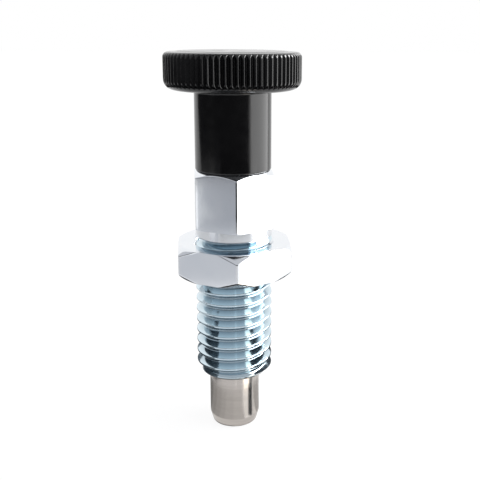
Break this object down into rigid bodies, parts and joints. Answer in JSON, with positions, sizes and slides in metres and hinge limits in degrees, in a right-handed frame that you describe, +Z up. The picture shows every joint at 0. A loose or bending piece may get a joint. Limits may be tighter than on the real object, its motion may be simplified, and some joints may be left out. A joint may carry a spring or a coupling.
{
  "type": "indexing plunger",
  "caption": "Spring-loaded indexing plunger: a fluted pull knob draws a cylindrical locating pin into a threaded hexagon guide body with a lock nut.",
  "frame": {"origin": "on the axis, at the lower face of the guide body's hexagon, where the mounting shank begins", "axes": "+Z up the axis towards the knob; the hexagon's corners point along -Y and +Y"},
  "size_m": [0.0207, 0.0206, 0.0598],
  "materials": {
    "zinc_plated_steel": "bright zinc plating",
    "stainless_steel": "turned and polished",
    "spring_steel": "drawn wire",
    "brass": "turned",
    "black_plastic": "moulded, glossy"
  },
  "bodies": {
    "guide": {"guide_body": "zinc_plated_steel"},
    "spring_carrier": {"spring": "spring_steel"},
    "plunger": {"plunger_pin": "stainless_steel", "knob": "black_plastic", "knob_insert": "brass"},
    "nut": {"lock_nut": "zinc_plated_steel"}
  },
  "joints": [
    {"name": "pull", "type": "slide", "parent": "guide", "child": "spring_carrier", "axis": [0, 0, 1], "range_m": [0, 0.009], "stiffness_N_per_m": 1350, "springref_m": -0.005, "deforming": ["spring"]},
    {"name": "spin", "type": "hinge", "parent": "spring_carrier", "child": "plunger", "pos_m": [0, 0, 0], "axis": [0, 0, 1], "continuous": true},
    {"name": "nut_travel", "type": "slide", "parent": "guide", "child": "nut", "axis": [0, 0, -1], "range_m": [0, 0.01575]}
  ]
}
